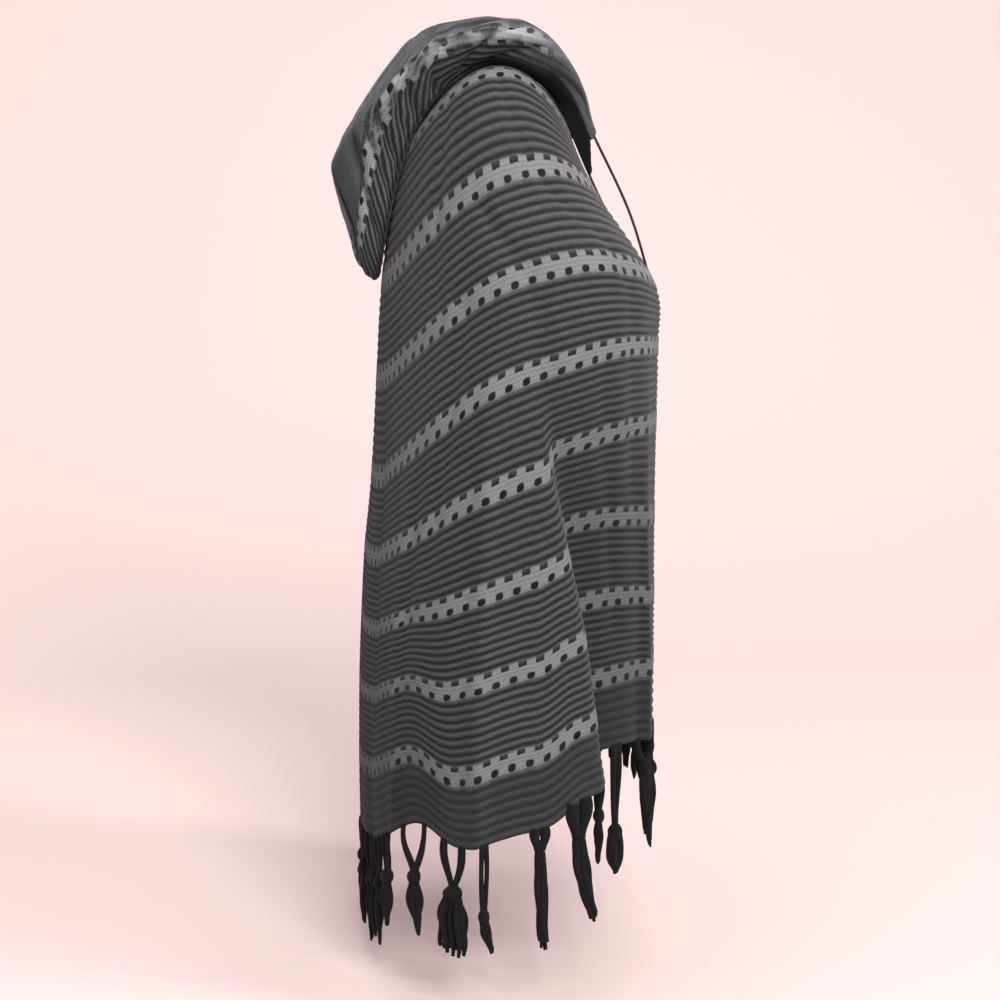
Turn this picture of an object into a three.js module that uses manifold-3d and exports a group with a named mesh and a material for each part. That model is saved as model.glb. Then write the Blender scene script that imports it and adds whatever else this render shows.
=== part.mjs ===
// A hooded, fringed poncho knitted in horizontal stripes, worn and hollow, with its hood down.
// Millimetres, +Z up. The wearer faces -Y and the right half lies on -X.
// The origin is at the neck, where the wearer's shoulders carry the garment.
import * as THREE from 'three';
import Module from 'manifold-3d';
import { mergeVertices } from 'three/addons/utils/BufferGeometryUtils.js';

const wasm = await Module();
wasm.setup();

// Driving sizes
const CLOTH = 2.6;
const SEAM_GAP = 0.3;
const HOOD_LAP = 3.8;
const HOOD_CLEARANCE = 7;
const PANEL_COLUMNS = 54;
const PANEL_ROWS = 20;
const HOOD_COLUMNS = 24;
const HOOD_ROWS = 16;
const HOOD_START_COLUMN = 0.985;

const TASSELS_PER_HALF = 18;
const TASSEL_LENGTH = 119;
const KNOT_DROP = 46;
const LEG_STEPS = 0.62;
const STRIP_DROP = 0.6;
const STRIP_HEIGHT = 5;
const STRIP_THICKNESS = 3.2;

const CORD_RADIUS = 1.5;
const CORD_SIDES = 8;
const CORD_STEPS = 24;
const LACE_AT = 0.985;
const LACE_ALONG = 0.70;
const LACE_FOOT_COLUMN = 0.996;
const LACE_FOOT_LEVEL = 0.347;
const LACE_BOW = { right: 7, left: -6 };

// Each row is one knitted course, from the neck down to the hem.
// back, side and front are its heights; rear and fore are how far it reaches behind and before the
// origin; half is its half width; square is the roundness of its plan, where 2 is an ellipse; sweep
// is the angle in degrees that it turns through from the centre back. Above the V the courses stop
// short of the centre front, and their ends make the neckline's slanting edge.
const COURSES = [
  { level: 0.000, back: 40, side: 100, front: 60, rear: -78, fore: 80, half: 80, square: 2.0, sweep: 128 },
  { level: 0.110, back: 0, side: 99, front: 4, rear: -104, fore: 94, half: 145, square: 2.0, sweep: 148 },
  { level: 0.225, back: -130, side: -9, front: -37, rear: -120, fore: 117, half: 200, square: 2.1, sweep: 160 },
  { level: 0.340, back: -235, side: -108, front: -129, rear: -126, fore: 176, half: 246, square: 2.3, sweep: 180 },
  { level: 0.450, back: -341, side: -209, front: -197, rear: -132, fore: 177, half: 264, square: 2.5, sweep: 180 },
  { level: 0.560, back: -426, side: -318, front: -300, rear: -140, fore: 177, half: 272, square: 2.6, sweep: 180 },
  { level: 0.670, back: -520, side: -425, front: -433, rear: -144, fore: 177, half: 275, square: 2.7, sweep: 180 },
  { level: 0.780, back: -623, side: -516, front: -521, rear: -147, fore: 177, half: 277, square: 2.8, sweep: 180 },
  { level: 0.890, back: -730, side: -606, front: -595, rear: -148, fore: 177, half: 278, square: 2.8, sweep: 180 },
  { level: 1.000, back: -812, side: -681, front: -671, rear: -147, fore: 177, half: 278, square: 2.8, sweep: 180 },
];

// Overlap folds, where the cloth steps inward and its courses step up.
// A fold opens at level from and is whole at level full. column runs from 0 at the centre back to 1
// at the centre front. acts says which side of the fold lies farther in: 1 before it, -1 behind it.
const FOLDS = {
  right: [
    { from: 0.42, full: 0.72, column: 0.491, atHem: 0.611, width: 0.006, inward: 46, lift: 32, acts: 1 },
    { from: 0.42, full: 0.72, column: 0.495, atHem: 0.541, width: 0.014, inward: 2, lift: 22, acts: 1 },
    { from: 0.55, full: 0.95, column: 0.290, atHem: 0.349, width: 0.029, inward: 14, lift: 75, acts: -1 },
    { from: 0.24, full: 0.44, column: 0.148, atHem: 0.119, width: 0.012, inward: 9, lift: -3, acts: -1 },
  ],
  left: [
    { from: 0.48, full: 0.80, column: 0.515, atHem: 0.635, width: 0.006, inward: 38, lift: 34, acts: 1 },
    { from: 0.48, full: 0.80, column: 0.500, atHem: 0.550, width: 0.016, inward: 2, lift: 18, acts: 1 },
    { from: 0.50, full: 0.90, column: 0.300, atHem: 0.340, width: 0.027, inward: 16, lift: 66, acts: -1 },
    { from: 0.30, full: 0.50, column: 0.140, atHem: 0.150, width: 0.012, inward: 8, lift: -5, acts: -1 },
  ],
};

// Soft upright waves of the hanging cloth, growing toward the hem.
const WAVES = {
  right: [
    { column: 0.07, from: 0.30, width: 0.030, height: -7 },
    { column: 0.22, from: 0.34, width: 0.024, height: 6 },
    { column: 0.43, from: 0.40, width: 0.018, height: 5 },
    { column: 0.78, from: 0.36, width: 0.022, height: 8 },
    { column: 0.90, from: 0.40, width: 0.026, height: -9 },
  ],
  left: [
    { column: 0.09, from: 0.28, width: 0.028, height: -6 },
    { column: 0.24, from: 0.36, width: 0.026, height: 8 },
    { column: 0.45, from: 0.44, width: 0.016, height: 4 },
    { column: 0.74, from: 0.34, width: 0.024, height: 9 },
    { column: 0.88, from: 0.38, width: 0.022, height: -8 },
  ],
};

// Stations round the hood that lies down, from the centre back (at 0) to its front corner (at 1).
// seamColumn and seamLevel place its seam on the body, footColumn and footLevel its lowest line.
// lift raises that line off the body, belly and rim are steps outward and up from it.
const HOOD = [
  { at: 0.00, seamColumn: 0.00, seamLevel: 0.010, footColumn: 0.00, footLevel: 0.215, lift: 0,
    bellyOut: 48, bellyUp: 112, rimOut: 35, rimUp: 152 },
  { at: 0.22, seamColumn: 0.26, seamLevel: 0.010, footColumn: 0.22, footLevel: 0.105, lift: 0,
    bellyOut: 45, bellyUp: 30, rimOut: 14, rimUp: 88 },
  { at: 0.45, seamColumn: 0.52, seamLevel: 0.010, footColumn: 0.50, footLevel: 0.050, lift: 4,
    bellyOut: 44, bellyUp: 20, rimOut: 34, rimUp: 42 },
  { at: 0.64, seamColumn: 0.78, seamLevel: 0.010, footColumn: 0.72, footLevel: 0.085, lift: 6,
    bellyOut: 32, bellyUp: 19, rimOut: 20, rimUp: 37 },
  { at: 0.82, seamColumn: 0.985, seamLevel: 0.030, footColumn: 0.93, footLevel: 0.110, lift: 24,
    bellyOut: 17, bellyUp: 8, rimOut: -4, rimUp: 32 },
  { at: 1.00, seamColumn: 0.985, seamLevel: 0.190, footColumn: 0.97, footLevel: 0.185, lift: 32,
    bellyOut: 5, bellyUp: 6, rimOut: 1, rimUp: 14 },
];

const KNIT = { color: 0x4a4a4d, roughness: 0.95, metalness: 0 };
const HOOD_KNIT = { color: 0x55555a, roughness: 0.95, metalness: 0 };
const YARN = { color: 0x151517, roughness: 0.9, metalness: 0 };
const LACE = { color: 0x4a2e26, roughness: 0.6, metalness: 0 };

const clamp = (value, low, high) => Math.min(high, Math.max(low, value));

// An S curve from 0 to 1.
const ease = (value) => {
  const x = clamp(value, 0, 1);
  return x * x * (3 - 2 * x);
};

// A smooth curve through one named column of a table whose rows are placed by another column.
function tableValue(rows, place, name, at) {
  const last = rows.length - 1;
  let i = 0;
  while (i < last - 1 && at >= rows[i + 1][place]) i += 1;
  const slope = (k) => {
    const a = rows[Math.max(0, k - 1)];
    const b = rows[Math.min(last, k + 1)];
    return (b[name] - a[name]) / (b[place] - a[place]);
  };
  const span = rows[i + 1][place] - rows[i][place];
  const t = clamp((at - rows[i][place]) / span, 0, 1);
  const rise = rows[i + 1][name] - rows[i][name];
  const startSlope = slope(i) * span;
  const endSlope = slope(i + 1) * span;
  const bend = (startSlope - rise) * (1 - t) - (endSlope - rise) * t;
  return rows[i][name] + rise * t + t * (1 - t) * bend;
}

// A point of a half's middle surface. column runs from centre back to centre front, level from neck
// to hem. The plan is a superellipse, and the height follows the cosine of the angle round it.
function bodyPoint(side, column, level) {
  const of = (name) => tableValue(COURSES, 'level', name, level);
  const angle = THREE.MathUtils.degToRad(column * Math.min(180, of('sweep')));
  const cosine = Math.cos(angle);
  const sine = Math.max(0, Math.sin(angle));
  const power = 2 / of('square');
  const middle = (of('fore') + of('rear')) / 2;
  const depth = (of('fore') - of('rear')) / 2;
  const tilt = (of('front') - of('back')) / 2;
  const bow = (of('front') + of('back')) / 2 - of('side');
  const forward = middle - depth * Math.sign(cosine) * Math.abs(cosine) ** power;
  let outward = of('half') * sine ** power;
  let height = of('side') - tilt * cosine + bow * cosine * cosine;
  const hold = sine ** 0.6;
  for (const fold of FOLDS[side]) {
    const open = ease((level - fold.from) / (fold.full - fold.from));
    const along = clamp((level - fold.from) / (1 - fold.from), 0, 1);
    const line = fold.column + (fold.atHem - fold.column) * along;
    const past = 1 / (1 + Math.exp(-fold.acts * (column - line) / fold.width));
    outward -= fold.inward * open * past * hold;
    height += fold.lift * open * past;
  }
  let bulge = 0;
  for (const wave of WAVES[side]) {
    const grow = ease((level - wave.from) / (1 - wave.from));
    bulge += wave.height * grow * Math.exp(-(((column - wave.column) / wave.width) ** 2));
  }
  const swell = 1 + bulge / depth;
  const x = Math.max(0, outward) * swell + SEAM_GAP / 2;
  const y = middle + (forward - middle) * swell;
  return new THREE.Vector3(side === 'right' ? -x : x, -y, height);
}

// The outward normal of the middle surface. At the centre seams it stays in the plane of symmetry.
function bodyNormal(side, column, level) {
  const step = 0.004;
  const c0 = Math.max(0, column - step);
  const c1 = Math.min(1, column + step);
  const v0 = Math.max(0, level - step);
  const v1 = Math.min(1, level + step);
  const across = bodyPoint(side, c1, level).sub(bodyPoint(side, c0, level));
  const down = bodyPoint(side, column, v1).sub(bodyPoint(side, column, v0));
  const normal = side === 'right' ? down.cross(across) : across.cross(down);
  if (Math.abs(bodyPoint(side, column, level).x) < SEAM_GAP) normal.x = 0;
  return normal.normalize();
}

// The level direction that points straight out of the plan of a half.
function planOut(side, column, level) {
  const step = 0.01;
  const before = bodyPoint(side, Math.max(0, column - step), level);
  const tangent = bodyPoint(side, Math.min(1, column + step), level).sub(before).setZ(0);
  const out = tangent.cross(new THREE.Vector3(0, 0, side === 'right' ? 1 : -1));
  if (Math.abs(bodyPoint(side, column, level).x) < SEAM_GAP) out.x = 0;
  return out.normalize();
}

// Columns spaced evenly along the cloth, with more of them where a fold turns.
function panelColumns(side) {
  const samples = 600;
  const reach = [0];
  for (let i = 1; i <= samples; i += 1) {
    const here = bodyPoint(side, i / samples, 0.85);
    const before = bodyPoint(side, (i - 1) / samples, 0.85);
    reach.push(reach[i - 1] + here.distanceTo(before));
  }
  const columns = [];
  for (let k = 0; k <= PANEL_COLUMNS; k += 1) {
    const wanted = reach[samples] * k / PANEL_COLUMNS;
    let i = 1;
    while (i < samples && reach[i] < wanted) i += 1;
    const part = (wanted - reach[i - 1]) / (reach[i] - reach[i - 1]);
    columns.push((i - 1 + part) / samples);
  }
  columns[0] = 0;
  columns[PANEL_COLUMNS] = 1;
  return columns;
}

// A closed wall between an outer and an inner grid of points, with its four edges.
// Seen from outside, the first index of a right half runs to the right and the second runs down.
function wallGeometry(outer, inner, mirrored) {
  const columns = outer.length;
  const rows = outer[0].length;
  const positions = [];
  for (const grid of [outer, inner]) {
    for (const line of grid) {
      for (const point of line) positions.push(point.x, point.y, point.z);
    }
  }
  const at = (layer, i, j) => layer * columns * rows + i * rows + j;
  const faces = [];
  const quad = (a, b, c, d) => {
    if (mirrored) faces.push(a, b, c, a, c, d);
    else faces.push(a, d, c, a, c, b);
  };
  for (let i = 0; i < columns - 1; i += 1) {
    for (let j = 0; j < rows - 1; j += 1) {
      quad(at(0, i, j), at(0, i + 1, j), at(0, i + 1, j + 1), at(0, i, j + 1));
      quad(at(1, i, j), at(1, i, j + 1), at(1, i + 1, j + 1), at(1, i + 1, j));
    }
  }
  for (let i = 0; i < columns - 1; i += 1) {
    quad(at(0, i, 0), at(1, i, 0), at(1, i + 1, 0), at(0, i + 1, 0));
    quad(at(0, i, rows - 1), at(0, i + 1, rows - 1), at(1, i + 1, rows - 1), at(1, i, rows - 1));
  }
  for (let j = 0; j < rows - 1; j += 1) {
    quad(at(0, 0, j), at(0, 0, j + 1), at(1, 0, j + 1), at(1, 0, j));
    quad(at(0, columns - 1, j), at(1, columns - 1, j), at(1, columns - 1, j + 1), at(0, columns - 1, j + 1));
  }
  const geometry = new THREE.BufferGeometry();
  geometry.setAttribute('position', new THREE.Float32BufferAttribute(positions, 3));
  geometry.setIndex(faces);
  geometry.computeVertexNormals();
  return geometry;
}

function bodyGeometry(side) {
  const outer = [];
  const inner = [];
  for (const column of panelColumns(side)) {
    const outerLine = [];
    const innerLine = [];
    for (let j = 0; j <= PANEL_ROWS; j += 1) {
      const level = j / PANEL_ROWS;
      const point = bodyPoint(side, column, level);
      const half = bodyNormal(side, column, level).multiplyScalar(CLOTH / 2);
      outerLine.push(point.clone().add(half));
      innerLine.push(point.clone().sub(half));
    }
    outer.push(outerLine);
    inner.push(innerLine);
  }
  return wallGeometry(outer, inner, side === 'left');
}

// The hood's section at one station: down over the body from the seam, round the foot, out to the
// belly and up to the rim of the face opening.
function hoodSection(side, at) {
  const of = (name) => tableValue(HOOD, 'at', name, at);
  const seamColumn = clamp(of('seamColumn'), 0, HOOD_START_COLUMN);
  const footColumn = clamp(of('footColumn'), 0, 1);
  const onBody = (column, level, gap) => bodyPoint(side, column, level)
    .addScaledVector(bodyNormal(side, column, level), gap);
  const out = planOut(side, footColumn, of('footLevel'));
  const foot = onBody(footColumn, of('footLevel'), HOOD_CLEARANCE);
  foot.z += of('lift');
  const stepped = (outward, upward) => foot.clone()
    .addScaledVector(out, outward)
    .add(new THREE.Vector3(0, 0, upward));
  const lap = onBody(seamColumn, Math.max(0.01, of('seamLevel')), HOOD_LAP);
  const under = [0.25, 0.5, 0.75].map((part) => {
    const column = seamColumn + (footColumn - seamColumn) * part;
    const level = of('seamLevel') + (of('footLevel') - of('seamLevel')) * part;
    const point = onBody(column, level, HOOD_CLEARANCE);
    point.z += of('lift') * part * part;
    return point;
  });
  return new THREE.CatmullRomCurve3([
    lap,
    ...under,
    foot,
    stepped(of('bellyOut') * 0.5, of('bellyUp') * 0.22),
    stepped(of('bellyOut'), of('bellyUp')),
    stepped(of('bellyOut') * 0.45 + of('rimOut') * 0.55 + 2, of('bellyUp') * 0.42 + of('rimUp') * 0.58),
    stepped(of('rimOut'), of('rimUp')),
  ], false, 'catmullrom', 0.5);
}

function hoodGeometry(side) {
  const middle = [];
  for (let i = 0; i <= HOOD_COLUMNS; i += 1) {
    const curve = hoodSection(side, i / HOOD_COLUMNS);
    const line = [];
    for (let j = 0; j <= HOOD_ROWS; j += 1) line.push(curve.getPoint(j / HOOD_ROWS));
    middle.push(line);
  }
  const outer = [];
  const inner = [];
  for (let i = 0; i <= HOOD_COLUMNS; i += 1) {
    const outerLine = [];
    const innerLine = [];
    for (let j = 0; j <= HOOD_ROWS; j += 1) {
      const across = middle[Math.min(HOOD_COLUMNS, i + 1)][j].clone().sub(middle[Math.max(0, i - 1)][j]);
      const along = middle[i][Math.min(HOOD_ROWS, j + 1)].clone().sub(middle[i][Math.max(0, j - 1)]);
      const normal = side === 'right' ? along.cross(across) : across.cross(along);
      if (i === 0) normal.x = 0;
      normal.normalize().multiplyScalar(CLOTH / 2);
      outerLine.push(middle[i][j].clone().add(normal));
      innerLine.push(middle[i][j].clone().sub(normal));
    }
    outer.push(outerLine);
    inner.push(innerLine);
  }
  return wallGeometry(outer, inner, side === 'left');
}

// A closed tube with flat ends along a list of stations, each with a centre and a radius.
function lockGeometry(stations, sides) {
  const positions = [];
  const faces = [];
  for (const station of stations) {
    for (let k = 0; k < sides; k += 1) {
      const turn = (k + 0.5) * 2 * Math.PI / sides;
      positions.push(
        station.centre.x + station.radius * Math.cos(turn),
        station.centre.y + station.radius * Math.sin(turn),
        station.centre.z,
      );
    }
  }
  const at = (ring, k) => ring * sides + (k % sides);
  for (let ring = 0; ring < stations.length - 1; ring += 1) {
    for (let k = 0; k < sides; k += 1) {
      faces.push(at(ring, k), at(ring + 1, k), at(ring + 1, k + 1));
      faces.push(at(ring, k), at(ring + 1, k + 1), at(ring, k + 1));
    }
  }
  const end = stations.length - 1;
  for (let k = 1; k < sides - 1; k += 1) {
    faces.push(at(0, 0), at(0, k), at(0, k + 1));
    faces.push(at(end, 0), at(end, k + 1), at(end, k));
  }
  const geometry = new THREE.BufferGeometry();
  geometry.setAttribute('position', new THREE.Float32BufferAttribute(positions, 3));
  geometry.setIndex(faces);
  return geometry;
}

const toSolid = (geometry) => {
  const bare = geometry.clone();
  bare.deleteAttribute('normal');
  bare.deleteAttribute('uv');
  const merged = mergeVertices(bare, 1e-4);
  return new wasm.Manifold(new wasm.Mesh({
    numProp: 3,
    vertProperties: new Float32Array(merged.attributes.position.array),
    triVerts: new Uint32Array(merged.index.array),
  }));
};

const fromSolid = (solid) => {
  const mesh = solid.getMesh();
  const geometry = new THREE.BufferGeometry();
  geometry.setAttribute('position', new THREE.BufferAttribute(new Float32Array(mesh.vertProperties), 3));
  geometry.setIndex(new THREE.BufferAttribute(new Uint32Array(mesh.triVerts), 1));
  geometry.computeVertexNormals();
  return geometry;
};

// The hem's edge at one column, with the direction out of the cloth.
function hemFrame(side, column) {
  return { point: bodyPoint(side, column, 1), out: planOut(side, column, 1) };
}

// The hem's edge between two columns, on the straight line that joins them.
function hemBetween(frames, place) {
  const i = clamp(Math.floor(place), 0, frames.length - 2);
  const part = place - i;
  return {
    point: frames[i].point.clone().lerp(frames[i + 1].point, part),
    out: frames[i].out.clone().lerp(frames[i + 1].out, part),
  };
}

// A narrow strip under the hem, on the panel's own columns.
function stripGeometry(side, frames) {
  const outer = [];
  const inner = [];
  for (const frame of frames) {
    const half = frame.out.clone().multiplyScalar(STRIP_THICKNESS / 2);
    const top = frame.point.clone();
    top.z -= STRIP_DROP;
    const low = top.clone();
    low.z -= STRIP_HEIGHT;
    outer.push([top.clone().add(half), low.clone().add(half)]);
    inner.push([top.clone().sub(half), low.clone().sub(half)]);
  }
  return wallGeometry(outer, inner, side === 'left');
}

// One tassel: a lock that runs from the strip through its knot to its tip, and a second leg that
// ends just above the knot. Lengths, spread and lean differ a little from tassel to tassel.
function tasselSolids(frames, place, turn) {
  const wobble = Math.sin(turn * 2.4);
  const sway = Math.cos(turn * 1.7);
  const length = TASSEL_LENGTH * (1 + 0.08 * wobble);
  const knot = KNOT_DROP * (1 + 0.10 * sway);
  const root = STRIP_DROP + STRIP_HEIGHT * 0.6;
  const centre = hemBetween(frames, place);
  const rooted = (steps) => hemBetween(frames, place + steps).point;
  const along = rooted(LEG_STEPS).sub(rooted(-LEG_STEPS)).setZ(0).normalize();
  const hang = (start, stations) => toSolid(lockGeometry(stations.map((station) => {
    const at = start.clone().lerp(centre.point, station.toKnot);
    at.addScaledVector(along, station.drift).addScaledVector(centre.out, sway * station.drop / 60);
    at.z = start.z + (centre.point.z - start.z) * station.toKnot - station.drop;
    return { centre: at, radius: station.radius };
  }), 4));
  return [
    hang(rooted(-LEG_STEPS), [
      { drop: root, toKnot: 0, drift: 0, radius: 1.5 },
      { drop: knot * 0.55, toKnot: 0.3, drift: 0, radius: 2.6 },
      { drop: knot * 0.88, toKnot: 0.85, drift: 0, radius: 3.4 },
      { drop: knot, toKnot: 1, drift: 0, radius: 7.0 },
      { drop: knot * 1.16, toKnot: 1, drift: 0, radius: 4.6 },
      { drop: length * 0.74, toKnot: 1, drift: 2 * sway, radius: 7.2 },
      { drop: length, toKnot: 1, drift: 4 * wobble, radius: 4.4 },
    ]),
    hang(rooted(LEG_STEPS), [
      { drop: root, toKnot: 0, drift: 0, radius: 1.5 },
      { drop: knot * 0.55, toKnot: 0.3, drift: 0, radius: 2.6 },
      { drop: knot * 0.78, toKnot: 0.4, drift: 0, radius: 1.8 },
    ]),
  ];
}

function fringeGeometry(side) {
  const frames = panelColumns(side).map((column) => hemFrame(side, column));
  let solid = toSolid(stripGeometry(side, frames));
  for (let i = 0; i < TASSELS_PER_HALF; i += 1) {
    const place = (i + 0.5) / TASSELS_PER_HALF * PANEL_COLUMNS;
    const turn = side === 'right' ? i : i + 0.55;
    for (const lock of tasselSolids(frames, place, turn)) solid = solid.add(lock);
  }
  return fromSolid(solid);
}

// The neck lace runs from the hood's front corner to the foot of the V in a slight bow. Both its ends lie
// on the outer face of what holds them.
function laceGeometry(side) {
  const lie = CLOTH / 2 + SEAM_GAP + CORD_RADIUS;
  const hoodPoint = (at, along) => hoodSection(side, at).getPoint(along);
  const corner = hoodPoint(LACE_AT, LACE_ALONG);
  const across = hoodPoint(1, LACE_ALONG).sub(hoodPoint(LACE_AT - 0.02, LACE_ALONG));
  const upward = hoodPoint(LACE_AT, LACE_ALONG + 0.02).sub(hoodPoint(LACE_AT, LACE_ALONG - 0.02));
  const face = side === 'right' ? upward.cross(across) : across.cross(upward);
  const start = corner.addScaledVector(face.normalize(), lie + SEAM_GAP);
  const end = bodyPoint(side, LACE_FOOT_COLUMN, LACE_FOOT_LEVEL)
    .addScaledVector(bodyNormal(side, LACE_FOOT_COLUMN, LACE_FOOT_LEVEL), lie);
  const middle = start.clone().lerp(end, 0.5);
  middle.y -= LACE_BOW[side];
  const path = new THREE.CatmullRomCurve3([start, middle, end]);
  const section = new THREE.Shape();
  for (let k = 0; k < CORD_SIDES; k += 1) {
    const turn = k * 2 * Math.PI / CORD_SIDES;
    const x = CORD_RADIUS * Math.cos(turn);
    const y = CORD_RADIUS * Math.sin(turn);
    if (k === 0) section.moveTo(x, y);
    else section.lineTo(x, y);
  }
  section.closePath();
  return new THREE.ExtrudeGeometry(section, { steps: CORD_STEPS, extrudePath: path, bevelEnabled: false });
}

function addPiece(group, name, geometry, look) {
  const mesh = new THREE.Mesh(geometry, new THREE.MeshStandardMaterial(look));
  mesh.name = name;
  group.add(mesh);
}

const poncho = new THREE.Group();
poncho.name = 'poncho';
for (const side of ['right', 'left']) {
  const half = new THREE.Group();
  addPiece(half, `${side}_half`, bodyGeometry(side), KNIT);
  addPiece(half, `${side}_hood`, hoodGeometry(side), HOOD_KNIT);
  addPiece(half, `${side}_fringe`, fringeGeometry(side), YARN);
  addPiece(half, `${side}_neck_lace`, laceGeometry(side), LACE);
  poncho.add(half);
}

export default poncho;
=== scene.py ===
# %% [markdown]
# # A hooded, fringed poncho, knitted in stripes
# The poncho is worn and hollow, with its hood lying down behind the neck. Its plain solids come first,
# as a frame that must not move. Every visible piece is then made again on the same form, with the
# knit's ridges, its dotted bands, its creases and its yarn.

# %% Load the frame
import math

import bpy
import numpy as np
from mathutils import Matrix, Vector


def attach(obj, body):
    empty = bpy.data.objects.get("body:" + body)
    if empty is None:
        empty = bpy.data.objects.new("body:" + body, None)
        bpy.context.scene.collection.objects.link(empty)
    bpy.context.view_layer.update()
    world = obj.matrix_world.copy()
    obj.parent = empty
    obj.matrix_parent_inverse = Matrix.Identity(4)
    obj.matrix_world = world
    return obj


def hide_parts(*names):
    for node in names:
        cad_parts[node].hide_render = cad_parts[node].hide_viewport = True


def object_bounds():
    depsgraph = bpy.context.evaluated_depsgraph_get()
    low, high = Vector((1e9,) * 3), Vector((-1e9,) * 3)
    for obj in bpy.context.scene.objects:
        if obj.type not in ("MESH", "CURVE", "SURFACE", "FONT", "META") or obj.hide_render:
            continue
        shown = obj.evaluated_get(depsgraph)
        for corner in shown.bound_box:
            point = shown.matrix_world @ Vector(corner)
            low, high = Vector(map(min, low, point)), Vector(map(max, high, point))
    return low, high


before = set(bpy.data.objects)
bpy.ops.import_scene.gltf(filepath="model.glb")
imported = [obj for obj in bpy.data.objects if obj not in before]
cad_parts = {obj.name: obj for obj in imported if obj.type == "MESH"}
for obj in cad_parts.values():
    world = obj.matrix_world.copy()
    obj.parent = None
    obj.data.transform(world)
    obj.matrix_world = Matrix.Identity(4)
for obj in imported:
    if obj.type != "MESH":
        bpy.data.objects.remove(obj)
solid_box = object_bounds()
print("solid nodes:", sorted(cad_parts))

# %% [markdown]
# ## The garment's own sizes
# A table with one row for each knitted course keeps the form readable: how high the course lies at the
# centre back, the side and the centre front, how far it reaches, and how round its plan is. Sizes are
# millimetres here and metres in the meshes. The wearer faces -Y and the right half lies on -X.

# %% The courses of the body
MM = 0.001
CLOTH = 2.6
SEAM_GAP = 0.3
SEAM_SHOWN = 0.04
COURSE_COLUMNS = ("level", "back", "side", "front", "rear", "fore", "half", "square", "sweep")
COURSES = np.array([
    (0.000, 40, 100, 60, -78, 80, 80, 2.0, 128),
    (0.110, 0, 99, 4, -104, 94, 145, 2.0, 148),
    (0.225, -130, -9, -37, -120, 117, 200, 2.1, 160),
    (0.340, -235, -108, -129, -126, 176, 246, 2.3, 180),
    (0.450, -341, -209, -197, -132, 177, 264, 2.5, 180),
    (0.560, -426, -318, -300, -140, 177, 272, 2.6, 180),
    (0.670, -520, -425, -433, -144, 177, 275, 2.7, 180),
    (0.780, -623, -516, -521, -147, 177, 277, 2.8, 180),
    (0.890, -730, -606, -595, -148, 177, 278, 2.8, 180),
    (1.000, -812, -681, -671, -147, 177, 278, 2.8, 180),
])
print("courses:", len(COURSES), "rows of", ", ".join(COURSE_COLUMNS))

# %% [markdown]
# ## The folds
# The near side shows two upright overlap folds, where the cloth steps inward and its stripes jump up.
# They could be sculpted, but a row of sizes for each fold keeps them exact and easy to change. The far
# side has folds of the same kind at other places, so that the two halves don't mirror each other.

# %% The overlap folds and the soft waves
FOLD_COLUMNS = ("from", "full", "column", "at_hem", "width", "inward", "lift", "acts", "lap")
FOLDS = {
    "right": np.array([
        (0.42, 0.72, 0.491, 0.611, 0.006, 46, 32, 1, 10),
        (0.42, 0.72, 0.495, 0.541, 0.014, 2, 22, 1, 0),
        (0.55, 0.95, 0.290, 0.349, 0.029, 14, 75, -1, 0),
        (0.24, 0.44, 0.148, 0.119, 0.012, 9, -3, -1, 0),
    ]),
    "left": np.array([
        (0.48, 0.80, 0.515, 0.635, 0.006, 38, 34, 1, 8),
        (0.48, 0.80, 0.500, 0.550, 0.016, 2, 18, 1, 0),
        (0.50, 0.90, 0.300, 0.340, 0.027, 16, 66, -1, 0),
        (0.30, 0.50, 0.140, 0.150, 0.012, 8, -5, -1, 0),
    ]),
}
WAVE_COLUMNS = ("column", "from", "width", "height")
WAVES = {
    "right": np.array([
        (0.07, 0.30, 0.030, -7), (0.22, 0.34, 0.024, 6), (0.43, 0.40, 0.018, 5),
        (0.78, 0.36, 0.022, 8), (0.90, 0.40, 0.026, -9),
    ]),
    "left": np.array([
        (0.09, 0.28, 0.028, -6), (0.24, 0.36, 0.026, 8), (0.45, 0.44, 0.016, 4),
        (0.74, 0.34, 0.024, 9), (0.88, 0.38, 0.022, -8),
    ]),
}
print("folds a side:", len(FOLDS["right"]), "soft waves a side:", len(WAVES["right"]))

# %% [markdown]
# ## Reading a table as a smooth curve
# Between two rows of a table the value has to flow without a kink. A cubic with a slope at each row,
# taken from the rows on both sides, does that, and numpy works it out for a whole grid at once.

# %% Smooth curves through the tables
def table_curve(rows, column, at):
    """A cubic Hermite curve through one column; the slope at a row is that of the chord past it."""
    places, values = rows[:, 0], rows[:, column]
    ahead = np.r_[np.arange(1, len(places)), len(places) - 1]
    behind = np.r_[0, np.arange(len(places) - 1)]
    slopes = (values[ahead] - values[behind]) / (places[ahead] - places[behind])
    i = np.clip(np.searchsorted(places, at, side="right") - 1, 0, len(places) - 2)
    span = places[i + 1] - places[i]
    t = np.clip((at - places[i]) / span, 0, 1)
    rise = values[i + 1] - values[i]
    bend = (slopes[i] * span - rise) * (1 - t) - (slopes[i + 1] * span - rise) * t
    return values[i] + rise * t + t * (1 - t) * bend


def ease(x):
    """An S curve from 0 to 1: three x squared less two x cubed."""
    x = np.clip(x, 0, 1)
    return x * x * (3 - 2 * x)


print("height of the hem at the side:", table_curve(COURSES, 2, np.array([1.0]))[0], "mm")

# %% [markdown]
# ## The form of one half
# Each half is one wide knitted piece, thrown over the shoulder from back to front. As a surface it
# needs two numbers: the column, from centre back to centre front, and the level, from neck to hem. The
# plan of a course is a superellipse, which is rounder than a box and squarer than an oval.

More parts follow.
